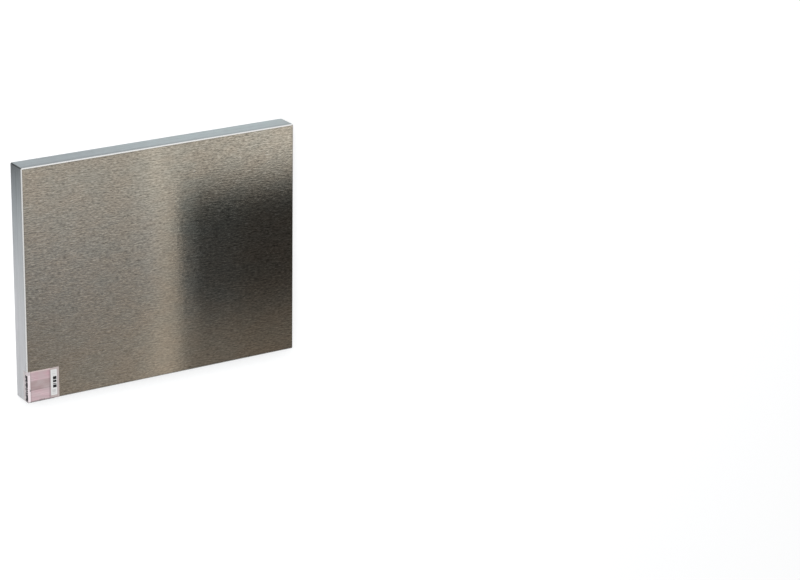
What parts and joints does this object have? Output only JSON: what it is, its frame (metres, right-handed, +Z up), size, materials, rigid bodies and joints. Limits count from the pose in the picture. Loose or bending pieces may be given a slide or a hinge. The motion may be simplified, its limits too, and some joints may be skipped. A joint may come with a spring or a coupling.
{
  "type": "duralumin plate",
  "caption": "Thick rectangular duralumin stock plate, sawn and milled to size, with a brushed face, broken edges and a plain sticker folded over one corner.",
  "frame": {"origin": "middle of the plate's underside, which rests on the floor", "axes": "+X along the plate's length, +Y across its width, +Z up through its thickness to the face with the sticker, which is at the low end of X and Y"},
  "size_m": [0.2501, 0.2001, 0.0201],
  "materials": {
    "duralumin": "brushed along the length, milled edges",
    "sticker_film": "thin printed film"
  },
  "bodies": {
    "root": {"plate": "duralumin", "corner_sticker": "sticker_film"}
  },
  "joints": []
}
